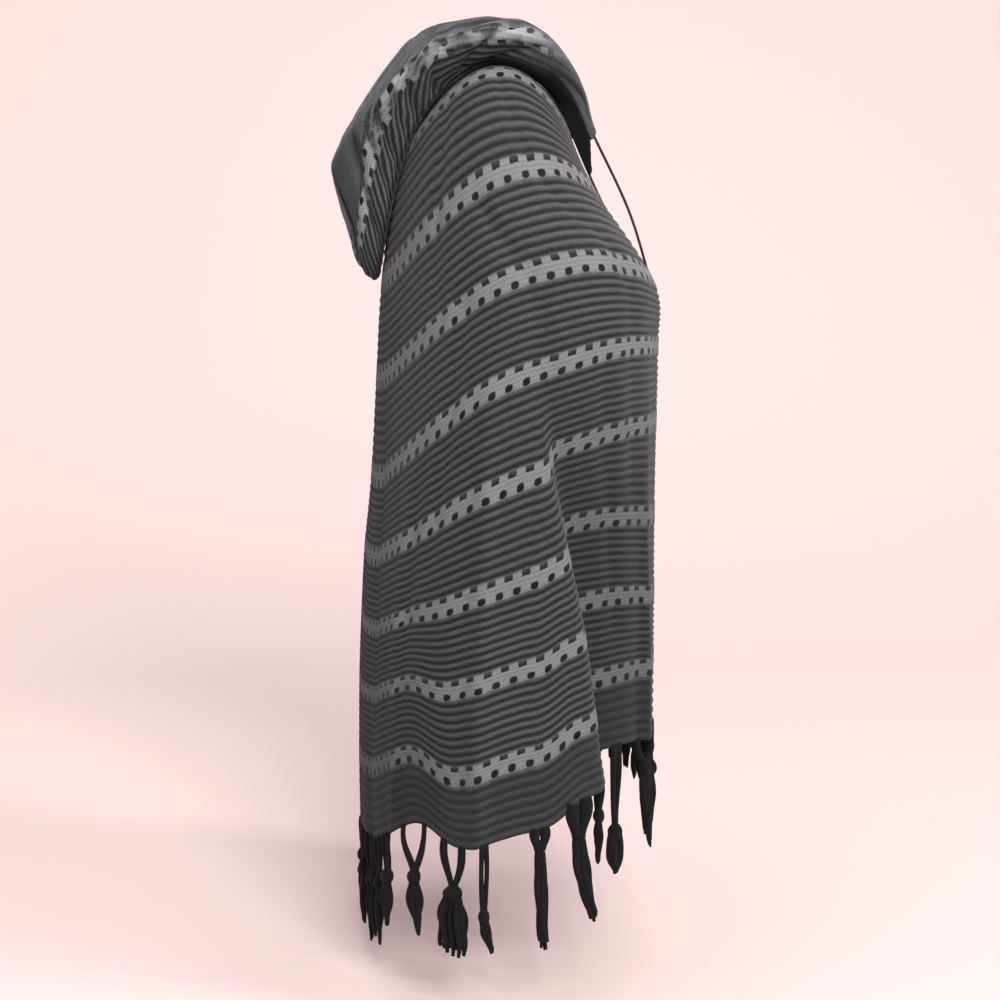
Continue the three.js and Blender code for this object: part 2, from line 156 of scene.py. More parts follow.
# %% The surface of a half
def half_surface(side, column, level):
    """Plan: a superellipse at angle column x sweep. Height: side, less tilt x cosine, plus bow x cosine
    squared. Each fold moves the cloth inward and up by a logistic step, and its lap pushes the edge
    forward over the deeper part. Each wave swells the plan by a bell curve."""
    of = {name: table_curve(COURSES, k, level) for k, name in enumerate(COURSE_COLUMNS)}
    angle = np.radians(column * np.minimum(180, of["sweep"]))
    cosine, sine = np.cos(angle), np.maximum(0, np.sin(angle))
    power = 2 / of["square"]
    middle, depth = (of["fore"] + of["rear"]) / 2, (of["fore"] - of["rear"]) / 2
    tilt = (of["front"] - of["back"]) / 2
    bow = (of["front"] + of["back"]) / 2 - of["side"]
    forward = middle - depth * np.sign(cosine) * np.abs(cosine) ** power
    outward = of["half"] * sine ** power
    height = of["side"] - tilt * cosine + bow * cosine ** 2
    for start, full, place, at_hem, width, inward, lift, acts, lap in FOLDS[side]:
        opened = ease((level - start) / (full - start))
        line = place + (at_hem - place) * np.clip((level - start) / (1 - start), 0, 1)
        beyond = acts * (column - line) / width
        past = 1 / (1 + np.exp(np.clip(-beyond, -60, 60)))
        outward = outward - inward * opened * past * sine ** 0.6
        height = height + lift * opened * past
        edge = np.exp(-((beyond + 1.6) / 1.9) ** 2) - np.exp(-((beyond - 2.2) / 2.4) ** 2)
        forward = forward + acts * lap * opened * edge
    bulge = sum(
        rise * ease((level - start) / (1 - start)) * np.exp(-((column - place) / width) ** 2)
        for place, start, width, rise in WAVES[side]
    )
    swell = 1 + bulge / depth
    x = np.maximum(0, outward) * swell + SEAM_SHOWN / 2
    y = middle + (forward - middle) * swell
    return np.stack([-x if side == "right" else x, -y, height], axis=-1)


def grid_normals(points, side):
    """The cross product of the grid's two directions, turned outward, and level at the centre seams."""
    across = np.gradient(points, axis=0)
    along = np.gradient(points, axis=1)
    normals = np.cross(along, across) if side == "right" else np.cross(across, along)
    normals[..., 0] = np.where(np.abs(points[..., 0]) < SEAM_GAP, 0, normals[..., 0])
    return normals / np.maximum(np.linalg.norm(normals, axis=-1, keepdims=True), 1e-9)


sample = half_surface("right", np.array([0.0, 0.5, 1.0]), np.array([1.0, 1.0, 1.0]))
print("hem at back, side and front, mm:", np.round(sample).tolist())

# %% [markdown]
# ## The knitted repeat
# Every 100 mm the knitter works a pale band: a row of black eyelet dots near its lower edge, and dark
# notches cut into its upper edge, half a repeat along. Between two bands lie eight raised ridges. The
# depth down the cloth is counted in bands, so the same numbers place the ridges in the mesh and the
# colours in the material.

# %% The repeat's sizes
BAND_PITCH = 100.0
RIDGE_PITCH = 9.5
FIRST_VALLEY = 11.0
BAND_TOP = -18.5
RIDGE_HEIGHT = 1.7
DOT_PITCH = 19.0
DEPTH_AT_LEVEL = np.array([-100, 0, 100, 200, 300, 400, 500, 600, 700, 768]) * 1.0
LAST_VALLEY = FIRST_VALLEY + 7 * RIDGE_PITCH
STEPS_A_RIDGE = 4


def ridge_height(depth, slant=0.0):
    """One less the cosine within the ridged part, between 0 in a valley and 1 on a ridge or a band.
    The slant moves the ridges down the cloth, so that they can cross it at an angle."""
    within = np.mod(depth, BAND_PITCH)
    wave = 0.5 - 0.5 * np.cos(2 * np.pi * (within - FIRST_VALLEY + slant) / RIDGE_PITCH)
    ridged = (within > FIRST_VALLEY - RIDGE_PITCH / 2) & (within < LAST_VALLEY + RIDGE_PITCH / 2)
    return np.where(ridged, wave, 1.0)


def knit_rows(first, last):
    """Depths with four steps to each ridge, in step with the valleys, and six across each band."""
    ridged = FIRST_VALLEY + (np.arange(-2, 7 * STEPS_A_RIDGE + 3)) * RIDGE_PITCH / STEPS_A_RIDGE
    banded = np.linspace(ridged[-1], ridged[0] + BAND_PITCH, 8)[1:-1]
    repeat = np.r_[ridged, banded]
    rows = np.concatenate([repeat + BAND_PITCH * k for k in range(-3, 9)])
    rows = rows[(rows > first + 0.8) & (rows < last - 0.8)]
    rows = np.r_[first, rows, last]
    spare = (len(rows) - 1) % STEPS_A_RIDGE
    return np.delete(rows, np.arange(1, 1 + spare)) if spare else rows


body_rows = knit_rows(DEPTH_AT_LEVEL[0], DEPTH_AT_LEVEL[-1])
print("rows down a half:", len(body_rows))

# %% [markdown]
# ## From a grid to cloth
# A knitted wall has an outside with its ridges and a plainer inside. One grid with Solidify would do,
# but both sides would then cost the same. Here the inner grid keeps every fourth row, and fans of
# triangles close the two free edges.

# %% Build a closed wall from an outer and an inner grid
def even_columns(surface, count):
    """Column numbers that are evenly spaced along the cloth, from the summed chord lengths."""
    trial = np.linspace(0, 1, 1201)
    points = surface(trial)
    reach = np.r_[0, np.cumsum(np.linalg.norm(np.diff(points, axis=0), axis=1))]
    columns = np.interp(np.linspace(0, reach[-1], count), reach, trial)
    columns[0], columns[-1] = 0, 1
    return columns


def run_lengths(points, start):
    """The length along each course in millimetres, counted from the column at index start."""
    steps = np.linalg.norm(np.diff(points, axis=0), axis=-1)
    reach = np.concatenate([np.zeros((1, points.shape[1])), np.cumsum(steps, axis=0)])
    return reach - reach[start]


def wall_faces(columns, rows, every, flip):
    """Quads over both grids, quads along the top and bottom edges, and fans down the two ends."""
    outer = np.arange(columns * rows).reshape(columns, rows)
    kept = len(range(0, rows, every))
    inner = columns * rows + np.arange(columns * kept).reshape(columns, kept)

    def quads(a, b, c, d):
        return np.stack([a, b, c, d], axis=-1).reshape(-1, 4)

    faces = [
        quads(outer[:-1, :-1], outer[:-1, 1:], outer[1:, 1:], outer[1:, :-1]),
        quads(inner[:-1, :-1], inner[1:, :-1], inner[1:, 1:], inner[:-1, 1:]),
        quads(outer[:-1, 0], outer[1:, 0], inner[1:, 0], inner[:-1, 0]),
        quads(outer[:-1, -1], inner[:-1, -1], inner[1:, -1], outer[1:, -1]),
    ]
    fans = []
    for end, turn in ((0, False), (columns - 1, True)):
        near = outer[end, :-1], outer[end, 1:]
        far = inner[end][np.arange(rows - 1) // every]
        fans.append(np.stack([near[0], far, near[1]] if not turn else [near[0], near[1], far], axis=-1))
        last = outer[end, every::every]
        a, b = inner[end, :-1], inner[end, 1:]
        fans.append(np.stack([a, b, last] if not turn else [a, last, b], axis=-1))
    quad_faces, tri_faces = np.concatenate(faces), np.concatenate(fans)
    if flip:
        quad_faces, tri_faces = quad_faces[:, ::-1], tri_faces[:, ::-1]
    return quad_faces, tri_faces


def mesh_piece(name, points, quad_faces, tri_faces, uv=None, smooth=True):
    """A mesh object from whole arrays: points in millimetres, quads, triangles and a UV for each point."""
    mesh = bpy.data.meshes.new(name)
    mesh.vertices.add(len(points))
    mesh.vertices.foreach_set("co", (points * MM).astype(np.float32).ravel())
    loops = np.r_[quad_faces.ravel(), tri_faces.ravel()].astype(np.int32)
    mesh.loops.add(len(loops))
    mesh.loops.foreach_set("vertex_index", loops)
    starts = np.r_[
        np.arange(len(quad_faces)) * 4, len(quad_faces) * 4 + np.arange(len(tri_faces)) * 3
    ].astype(np.int32)
    mesh.polygons.add(len(starts))
    mesh.polygons.foreach_set("loop_start", starts)
    mesh.update(calc_edges=True)
    mesh.polygons.foreach_set("use_smooth", np.full(len(starts), smooth))
    if uv is not None:
        layer = mesh.uv_layers.new(name="knit")
        layer.data.foreach_set("uv", uv[loops].astype(np.float32).ravel())
    mesh.validate()
    piece = bpy.data.objects.new(name, mesh)
    bpy.context.collection.objects.link(piece)
    return piece


print("a wall of 3 x 5 points has", sum(len(f) for f in wall_faces(3, 5, 4, False)), "faces")

# %% [markdown]
# ## Small graphs for materials
# A knit material is arithmetic on the cloth's own measure: how far along the course, and how deep down
# the cloth. Writing nodes one by one hides that arithmetic, so a small helper lets a formula be read
# from left to right while it still makes plain Math nodes.

# %% A helper that writes node arithmetic
class Graph:
    def __init__(self, name):
        self.material = bpy.data.materials.new(name)
        self.material.use_nodes = True
        self.tree = self.material.node_tree
        self.shader = self.tree.nodes["Principled BSDF"]

    def node(self, kind, **settings):
        made = self.tree.nodes.new(kind)
        for key, value in settings.items():
            setattr(made, key, value)
        return made

    def plug(self, socket, value):
        if isinstance(value, bpy.types.NodeSocket):
            self.tree.links.new(value, socket)
        else:
            socket.default_value = value

    def math(self, operation, *values):
        made = self.node("ShaderNodeMath", operation=operation)
        for socket, value in zip(made.inputs, values):
            self.plug(socket, value)
        return made.outputs[0]

    def soft_step(self, value, low, high):
        """0 under low, 1 over high, and a soft slope between."""
        made = self.node("ShaderNodeMapRange", interpolation_type="SMOOTHSTEP", clamp=True)
        self.plug(made.inputs["Value"], value)
        made.inputs["From Min"].default_value = low
        made.inputs["From Max"].default_value = high
        return made.outputs["Result"]

    def mix(self, amount, first, second):
        made = self.node("ShaderNodeMix", data_type="RGBA")
        self.plug(made.inputs["Factor"], amount)
        self.plug(made.inputs["A"], first)
        self.plug(made.inputs["B"], second)
        return made.outputs["Result"]

    def noise(self, vector, scale, detail=2.0):
        made = self.node("ShaderNodeTexNoise")
        self.plug(made.inputs["Vector"], vector)
        made.inputs["Scale"].default_value = scale
        made.inputs["Detail"].default_value = detail
        return made.outputs["Fac"]


def from_hex(code, alpha=1.0):
    """An sRGB colour such as 4a4a4d as the linear colour that shaders use."""
    parts = np.array([int(code[k:k + 2], 16) / 255 for k in (0, 2, 4)])
    linear = np.where(parts <= 0.04045, parts / 12.92, ((parts + 0.055) / 1.055) ** 2.4)
    return (*linear.tolist(), alpha)


print("charcoal in linear light:", [round(c, 3) for c in from_hex("4a4a4d")])

# %% [markdown]
# ## The striped knit
# The real cloth is charcoal wool with paler ridges, grey bands and black eyelets. The material reads
# the cloth's UV map, where U is the way along the course in repeats of 19 mm and V is the depth in
# bands of 100 mm. Dots and notches are ellipses and boxes in that measure, so they bend with each fold.

# %% The striped knit material
STITCHES = 6.0
ROW_PITCH = RIDGE_PITCH / 2


def striped_knit(name, ridge_tone, valley_tone, band_tone, worn):
    """Worn is how patchy the pale bands are, from 0 to 1."""
    g = Graph(name)
    coordinates = g.node("ShaderNodeTexCoord")
    split = g.node("ShaderNodeSeparateXYZ")
    g.plug(split.inputs[0], coordinates.outputs["UV"])
    place = coordinates.outputs["Object"]
    plain = g.node("ShaderNodeAttribute", attribute_name="plain").outputs["Fac"]
    # Painted shade stored on the mesh: past the overlap folds, in the gap under the hood's front edge and along
    # its turn.
    painted_shade = g.node("ShaderNodeAttribute", attribute_name="painted_shade").outputs["Fac"]
    slant = g.node("ShaderNodeAttribute", attribute_name="slant").outputs["Fac"]
    wander = g.math("SUBTRACT", g.noise(place, 90.0), 0.5)
    run = g.math("ADD", split.outputs["X"], g.math("MULTIPLY", wander, 0.11))
    deep = g.math("ADD", split.outputs["Y"], g.math("MULTIPLY", wander, 0.008))
    uneven = g.math("MULTIPLY", wander, 2.2)
    within = g.math("MULTIPLY", g.math("FRACT", g.math("ADD", deep, 10.0)), BAND_PITCH)
    over_half = g.math("GREATER_THAN", within, BAND_PITCH / 2)
    from_dots = g.math("SUBTRACT", within, g.math("MULTIPLY", over_half, BAND_PITCH))
    from_dots = g.math("ADD", from_dots, uneven)

    counted = g.math("ADD", g.math("SUBTRACT", within, FIRST_VALLEY), slant)
    turn = g.math("MULTIPLY", counted, 2 * math.pi / RIDGE_PITCH)
    wave = g.math("SUBTRACT", 0.5, g.math("MULTIPLY", g.math("COSINE", turn), 0.5))
    tufts = g.math("ADD", 0.62, g.math("MULTIPLY", g.noise(place, 170.0, 3.0), 0.76))
    ridge = g.math("MULTIPLY", g.math("POWER", wave, 1.5), g.math("SUBTRACT", 1.0, plain))
    ridge = g.math("ADD", ridge, g.math("MULTIPLY", plain, 0.72))
    ridge = g.math("MULTIPLY", ridge, tufts)

    band = g.math(
        "MULTIPLY",
        g.soft_step(from_dots, BAND_TOP - 0.9, BAND_TOP + 0.9),
        g.math("SUBTRACT", 1.0, g.soft_step(from_dots, 3.0, 6.0)),
    )
    run_up = g.math("ADD", run, 100.0)
    along_dot = g.math("MULTIPLY", g.math("SUBTRACT", g.math("FRACT", run_up), 0.5), DOT_PITCH)
    shifted = g.math("FRACT", g.math("ADD", run_up, 0.5))
    along_notch = g.math("MULTIPLY", g.math("SUBTRACT", shifted, 0.5), DOT_PITCH)
    radius = g.math(
        "SQRT",
        g.math(
            "ADD",
            g.math("POWER", g.math("ABSOLUTE", g.math("DIVIDE", along_dot, 4.4)), 2.6),
            g.math("POWER", g.math("ABSOLUTE", g.math("DIVIDE", g.math("SUBTRACT", from_dots, 0.6), 4.2)), 2.6),
        ),
    )
    dot = g.math("SUBTRACT", 1.0, g.soft_step(radius, 0.72, 1.15))
    notch = g.math(
        "MULTIPLY",
        g.math("SUBTRACT", 1.0, g.soft_step(g.math("ABSOLUTE", along_notch), 3.9, 5.0)),
        g.math("SUBTRACT", 1.0, g.soft_step(from_dots, -13.0, -11.6)),
    )
    tick = g.math(
        "MULTIPLY",
        g.math("SUBTRACT", 1.0, g.soft_step(g.math("ABSOLUTE", along_notch), 2.4, 4.2)),
        g.math(
            "MULTIPLY",
            g.soft_step(from_dots, 3.0, 5.0),
            g.math("SUBTRACT", 1.0, g.soft_step(from_dots, 7.0, 9.0)),
        ),
    )
    patches = g.soft_step(g.noise(place, 26.0, 3.0), 0.40, 0.56)
    kept = g.math("SUBTRACT", 1.0, g.math("MULTIPLY", worn, g.math("SUBTRACT", 1.0, patches)))
    shown = g.math("MULTIPLY", kept, g.math("SUBTRACT", 1.0, plain))
    pale = g.math("MULTIPLY", g.math("MULTIPLY", band, g.math("SUBTRACT", 1.0, notch)), shown)
    dot = g.math("MULTIPLY", dot, g.math("POWER", shown, 0.5))
    hem = g.soft_step(deep, 7.06, 7.12)

    wale = g.math("ABSOLUTE", g.math("SUBTRACT", g.math("FRACT", g.math("MULTIPLY", run_up, STITCHES)), 0.5))
    vee = g.math("ADD", g.math("DIVIDE", within, ROW_PITCH), g.math("MULTIPLY", wale, 1.1))
    stitch = g.math("ADD", g.math("SINE", g.math("MULTIPLY", vee, 2 * math.pi)), 1.0)
    loops = g.math("MULTIPLY", stitch, g.math("ADD", wave, 0.5))

    patchy = g.noise(place, 14.0, 4.0)
    fleck = g.noise(place, 700.0, 3.0)
    ground = g.mix(ridge, from_hex(valley_tone), from_hex(ridge_tone))
    ground = g.mix(g.math("MULTIPLY", patchy, 0.35), ground, from_hex("363134"))
    ground = g.mix(g.math("MULTIPLY", tick, 0.45), ground, from_hex("707072"))
    ground = g.mix(g.math("MULTIPLY", hem, 0.62), ground, from_hex("2f3435"))
    cloth = g.mix(pale, ground, from_hex(band_tone))
    cloth = g.mix(g.math("MULTIPLY", fleck, 0.34), cloth, from_hex("1c1b1d"))
    # Painted shade in the gaps between stitch loops.
    stitch_gap_shade = g.math("MULTIPLY", g.math("SUBTRACT", 2.0, stitch), 0.17)
    cloth = g.mix(stitch_gap_shade, cloth, from_hex("1c1b1d"))
    cut_out = g.math("MULTIPLY", g.math("MULTIPLY", band, notch), g.math("MULTIPLY", shown, 0.62))
    cloth = g.mix(cut_out, cloth, from_hex("161618"))
    cloth = g.mix(dot, cloth, from_hex("0e0d0f"))
    # Painted shade: near black mixed in where the mesh stores it.
    cloth = g.mix(painted_shade, cloth, from_hex("0b0b0c"))
    g.plug(g.shader.inputs["Base Color"], cloth)

    fuzz = g.noise(place, 1100.0, 3.0)
    relief = g.math("ADD", g.math("MULTIPLY", loops, 0.28), g.math("MULTIPLY", fuzz, 0.9))
    relief = g.math("SUBTRACT", relief, g.math("MULTIPLY", dot, 1.4))
    bump = g.node("ShaderNodeBump")
    bump.inputs["Strength"].default_value = 0.55
    bump.inputs["Distance"].default_value = 0.0009
    g.plug(bump.inputs["Height"], relief)
    g.plug(g.shader.inputs["Normal"], bump.outputs["Normal"])
    g.plug(g.shader.inputs["Roughness"], g.math("ADD", 0.84, g.math("MULTIPLY", fleck, 0.14)))
    g.shader.inputs["Sheen Weight"].default_value = 0.12
    g.shader.inputs["Sheen Roughness"].default_value = 0.5
    g.shader.inputs["Specular IOR Level"].default_value = 0.18
    return g.material


body_knit = striped_knit("striped_knit", "66686d", "1c1e20", "8f9091", 0.06)
hood_knit = striped_knit("hood_knit", "808488", "1e2123", "b8babe", 0.9)
print("materials:", body_knit.name, hood_knit.name)

# %% [markdown]
# ## Creases placed one by one
# Soft cloth shows shallow troughs that run from one fold to the next. Each is given: where it
# starts and ends, how wide and how deep it is. A trough is a bell curve across the line that joins its
# two ends, so the creases can be as uneven as the real ones.

# %% Troughs and ridges in the body's cloth
CREASE_COLUMNS = ("column", "level", "to_column", "to_level", "width", "depth")
BODY_CREASES = {
    "right": np.array([
        (0.475, 0.24, 0.505, 0.46, 0.020, -3.2), (0.36, 0.33, 0.31, 0.60, 0.022, -3.0),
        (0.425, 0.44, 0.455, 0.84, 0.020, 2.6), (0.62, 0.44, 0.66, 0.80, 0.022, -3.0),
        (0.70, 0.30, 0.72, 0.62, 0.024, -2.6), (0.39, 0.13, 0.30, 0.30, 0.021, -2.6),
        (0.60, 0.12, 0.67, 0.27, 0.021, -2.6), (0.55, 0.62, 0.57, 0.90, 0.018, 2.4),
        (0.26, 0.52, 0.22, 0.88, 0.022, -3.4), (0.08, 0.40, 0.12, 0.82, 0.026, -3.6),
    ]),
    "left": np.array([
        (0.49, 0.28, 0.520, 0.50, 0.021, -3.2), (0.37, 0.30, 0.33, 0.56, 0.022, -2.8),
        (0.64, 0.50, 0.69, 0.86, 0.022, -3.4), (0.72, 0.26, 0.74, 0.58, 0.022, -2.8),
        (0.40, 0.12, 0.33, 0.28, 0.020, -2.2), (0.59, 0.13, 0.65, 0.29, 0.021, -2.6),
        (0.24, 0.56, 0.21, 0.90, 0.023, -3.0), (0.10, 0.44, 0.07, 0.86, 0.026, -3.8),
    ]),
}


def crease_depth(creases, across, down, aspect):
    """For each crease, the depth times a bell curve of the distance to its line, faded at its ends."""
    total = np.zeros_like(across)
    for a0, b0, a1, b1, width, depth in creases:
        da, db = a1 - a0, (b1 - b0) * aspect
        length = math.hypot(da, db)
        x, y = across - a0, (down - b0) * aspect
        t = (x * da + y * db) / length**2
        off = np.abs(x * db - y * da) / length
        total = total + depth * np.exp(-((off / width) ** 2)) * ease((t + 0.2) * 4) * ease((1.2 - t) * 4)
    return total


print("creases a side:", len(BODY_CREASES["right"]), len(BODY_CREASES["left"]))

# %% [markdown]
# ## The two halves
# The cloth of each half is worked out as one grid of columns and rows. The ridges push the outer grid
# out, the inner grid keeps the plain form, and the UV map carries the true lengths along and down.

# %% Knit the right and left halves
BODY_COLUMNS = 196
# Painted shade past the front and back overlap folds: the fold's row and its share.
PAINTED_SHADE_PAST_FOLDS = ((0, 0.40), (2, 0.30))


def fold_shade(side, column, level):
    """How much painted shade the cloth takes past each overlap fold, where it lies deeper: its share times the
    fold's own S curve.
    """
    shade = np.zeros_like(column)
    for row, share in PAINTED_SHADE_PAST_FOLDS:
        start, full, place, at_hem, width, _, _, acts, _ = FOLDS[side][row]
        line = place + (at_hem - place) * np.clip((level - start) / (1 - start), 0, 1)
        past = 1 / (1 + np.exp(np.clip(-acts * (column - line) / width, -60, 60)))
        shade += share * ease((level - start) / (full - start)) * past
    return shade


def knit_half(side):
    columns = even_columns(lambda c: half_surface(side, c, np.full_like(c, 0.85)), BODY_COLUMNS)
    levels = np.interp(body_rows, DEPTH_AT_LEVEL, COURSES[:, 0])
    column, level = np.meshgrid(columns, levels, indexing="ij")
    middle = half_surface(side, column, level)
    folded = crease_depth(BODY_CREASES[side], column, level, 1.0)
    middle = middle + grid_normals(middle, side) * folded[..., None]
    normals = grid_normals(middle, side)
    depth = np.broadcast_to(body_rows, column.shape)
    raised = CLOTH / 2 - 0.5 + RIDGE_HEIGHT * (ridge_height(depth) - 0.35)
    outer = middle + normals * raised[..., None]
    inner = (middle - normals * CLOTH / 2)[:, ::STEPS_A_RIDGE]
    run = run_lengths(middle, int(np.argmin(np.abs(columns - 0.45)))) / DOT_PITCH
    uv = np.stack([run, depth / BAND_PITCH], axis=-1)
    quads, tris = wall_faces(*column.shape, STEPS_A_RIDGE, side == "left")
    points = np.concatenate([outer.reshape(-1, 3), inner.reshape(-1, 3)])
    uvs = np.concatenate([uv.reshape(-1, 2), uv[:, ::STEPS_A_RIDGE].reshape(-1, 2)])
    piece = mesh_piece(f"{side}_knit_half", points, quads, tris, uvs)
    piece.data.materials.append(body_knit)
    # Painted shade past the overlap folds, stored on the points for the material.
    shade = fold_shade(side, column, level)
    values = np.r_[shade.ravel(), shade[:, ::STEPS_A_RIDGE].ravel()].astype(np.float32)
    piece.data.attributes.new("painted_shade", "FLOAT", "POINT").data.foreach_set("value", values)
    return piece


halves = {side: knit_half(side) for side in ("right", "left")}

# %% [markdown]
# ## The hood that lies down
# The hood is sewn to the neck edge, runs down over the shoulder to a soft turn and comes back up to
# the rim of its face opening, so it makes a pouch behind the neck. Its section is one smooth curve,
# placed by a table of stations from the centre back to the front corner.

# %% The hood's stations
HOOD_LAP = 3.8
HOOD_CLEARANCE = 7.0
HOOD_START_COLUMN = 0.985
HOOD_COLUMNS = (
    "at", "seam_column", "seam_level", "foot_column", "foot_level", "lift",
    "belly_out", "belly_up", "rim_out", "rim_up",
)
HOOD = np.array([
    (0.00, 0.000, 0.010, 0.00, 0.215, 0, 48, 112, 35, 152),
    (0.22, 0.260, 0.010, 0.22, 0.105, 0, 45, 30, 9, 88),
    (0.45, 0.520, 0.010, 0.50, 0.050, 4, 44, 20, 34, 49),
    (0.64, 0.780, 0.010, 0.72, 0.085, 6, 32, 19, 20, 37),
    (0.82, 0.985, 0.030, 0.93, 0.110, 24, 17, 8, -4, 32),
    (1.00, 0.985, 0.190, 0.97, 0.185, 32, 5, 6, 1, 14),
])


def surface_frame(side, column, level, step=0.004):
    """The point, the outward normal and the outward direction in plan, from small steps each way."""
    back, ahead = np.maximum(0, column - step), np.minimum(1, column + step)
    above, below = np.maximum(0, level - step), np.minimum(1, level + step)
    point = half_surface(side, column, level)
    across = half_surface(side, ahead, level) - half_surface(side, back, level)
    down = half_surface(side, column, below) - half_surface(side, column, above)
    normal = np.cross(down, across) if side == "right" else np.cross(across, down)
    wide = half_surface(side, np.minimum(1, column + 0.01), level)
    tangent = (wide - half_surface(side, np.maximum(0, column - 0.01), level)) * (1, 1, 0)
    out = np.cross(tangent, (0, 0, 1 if side == "right" else -1))
    seam = np.abs(point[..., 0]) < SEAM_GAP
    normal[..., 0] = np.where(seam, 0, normal[..., 0])
    out[..., 0] = np.where(seam, 0, out[..., 0])
    unit = [v / np.linalg.norm(v, axis=-1, keepdims=True) for v in (normal, out)]
    return point, unit[0], unit[1]


def catmull_rom(controls, t):
    """A uniform Catmull-Rom spline through controls (..., count, 3), at places t from 0 to 1."""
    count = controls.shape[-2]
    first = 2 * controls[..., :1, :] - controls[..., 1:2, :]
    last = 2 * controls[..., -1:, :] - controls[..., -2:-1, :]
    line = np.concatenate([first, controls, last], axis=-2)
    place = np.clip(t, 0, 1) * (count - 1)
    i = np.minimum(place.astype(int), count - 2)
    u = (place - i)[:, None]
    a, b, c, d = (line[..., i + k, :] for k in range(4))
    return 0.5 * (2 * b + (c - a) * u + (2 * a - 5 * b + 4 * c - d) * u**2
                  + (3 * b - a - 3 * c + d) * u**3)


def hood_surface(side, at, along):
    """Station by station: over the body from the seam to the foot, out to the belly, up to the rim."""
    of = {name: table_curve(HOOD, k, at) for k, name in enumerate(HOOD_COLUMNS)}
    seam_column = np.clip(of["seam_column"], 0, HOOD_START_COLUMN)
    foot_column = np.clip(of["foot_column"], 0, 1)
    seam_level, foot_level = np.maximum(0.01, of["seam_level"]), of["foot_level"]

    def on_body(column, level, gap):
        point, normal, _ = surface_frame(side, column, level)
        return point + normal * gap

    foot = on_body(foot_column, foot_level, HOOD_CLEARANCE)
    foot[:, 2] += of["lift"]
    out = surface_frame(side, foot_column, foot_level)[2]
    up = np.array([0, 0, 1.0])

    def stepped(outward, upward):
        return foot + out * outward[:, None] + up * upward[:, None]

    controls = [on_body(seam_column, seam_level, HOOD_LAP)]
    for part in (0.25, 0.5, 0.75):
        column = seam_column + (foot_column - seam_column) * part
        level = of["seam_level"] + (foot_level - of["seam_level"]) * part
        point = on_body(column, level, HOOD_CLEARANCE)
        point[:, 2] += of["lift"] * part * part
        controls.append(point)
    controls += [
        foot,
        stepped(of["belly_out"] * 0.5, of["belly_up"] * 0.22),
        stepped(of["belly_out"], of["belly_up"]),
        stepped(of["belly_out"] * 0.45 + of["rim_out"] * 0.55 + 2,
                of["belly_up"] * 0.42 + of["rim_up"] * 0.58),
        stepped(of["rim_out"], of["rim_up"]),
    ]
    return catmull_rom(np.stack(controls, axis=1), along)


FOOT_ALONG = 4 / 8
print("hood's foot at the centre back, mm:",
      np.round(hood_surface("right", np.array([0.0]), np.array([FOOT_ALONG]))[0, 0]).tolist())

# %% [markdown]
# ## Creases of the hood
# A hood that lies down gathers into creases that fan out from its turn, deeper than those of the body.
# Toward its front the ridges fade into plain knit. The shaded gap under the front edge and the crease
# along the turn at the foot get painted shade. Two values stored on the mesh, one for the plain knit and
# one for the painted shade, tell the material where that is, and a third one slants the ridges of the
# back. The cloth turns over at its foot, so its outside changes side there: both grids keep every row,
# and the ridges and creases swap their sign at the foot.

# %% Crease and knit the hood
HOOD_CREASES = {
    "right": np.array([
        (0.07, 0.56, 0.15, 0.92, 0.016, -6.5), (0.13, 0.54, 0.20, 0.80, 0.012, -5.0),
        (0.17, 0.53, 0.27, 0.88, 0.014, -7.0), (0.22, 0.53, 0.31, 0.78, 0.011, -4.5),
        (0.27, 0.53, 0.38, 0.92, 0.014, -6.0), (0.34, 0.55, 0.44, 0.80, 0.012, -4.5),
        (0.46, 0.58, 0.60, 0.86, 0.014, -4.5), (0.55, 0.56, 0.70, 0.80, 0.014, -4.0),
        (0.42, 0.76, 0.58, 0.98, 0.018, -3.5), (-0.02, 0.665, 0.13, 0.70, 0.030, -9.0),
        (0.72, 0.60, 0.92, 0.74, 0.022, -2.5),
    ]),
    "left": np.array([
        (0.06, 0.56, 0.16, 0.90, 0.016, -6.0), (0.15, 0.53, 0.23, 0.90, 0.015, -6.5),
        (0.21, 0.54, 0.29, 0.76, 0.012, -4.5), (0.26, 0.54, 0.35, 0.88, 0.014, -6.0),
        (0.36, 0.54, 0.47, 0.88, 0.014, -5.0), (0.50, 0.58, 0.62, 0.92, 0.016, -4.0),
        (0.64, 0.58, 0.80, 0.84, 0.018, -3.0), (0.02, 0.62, 0.09, 0.74, 0.028, -5.0),
    ]),
}
HOOD_BAND_FROM_FOOT = 46.0
HOOD_SLANT = 0.75
HOOD_GRID_COLUMNS = 170


def hood_rows(side):
    """Places along the section in step with the knit's valleys at the middle of the hood."""
    trial = np.linspace(0, 1, 1601)
    points = hood_surface(side, np.array([0.2]), trial)[0]
    reach = np.r_[0, np.cumsum(np.linalg.norm(np.diff(points, axis=0), axis=1))]
    start = np.interp(FOOT_ALONG, trial, reach)
    depths = knit_rows(-start - HOOD_BAND_FROM_FOOT, reach[-1] - start - HOOD_BAND_FROM_FOOT)
    return np.interp(depths + start + HOOD_BAND_FROM_FOOT, reach, trial)


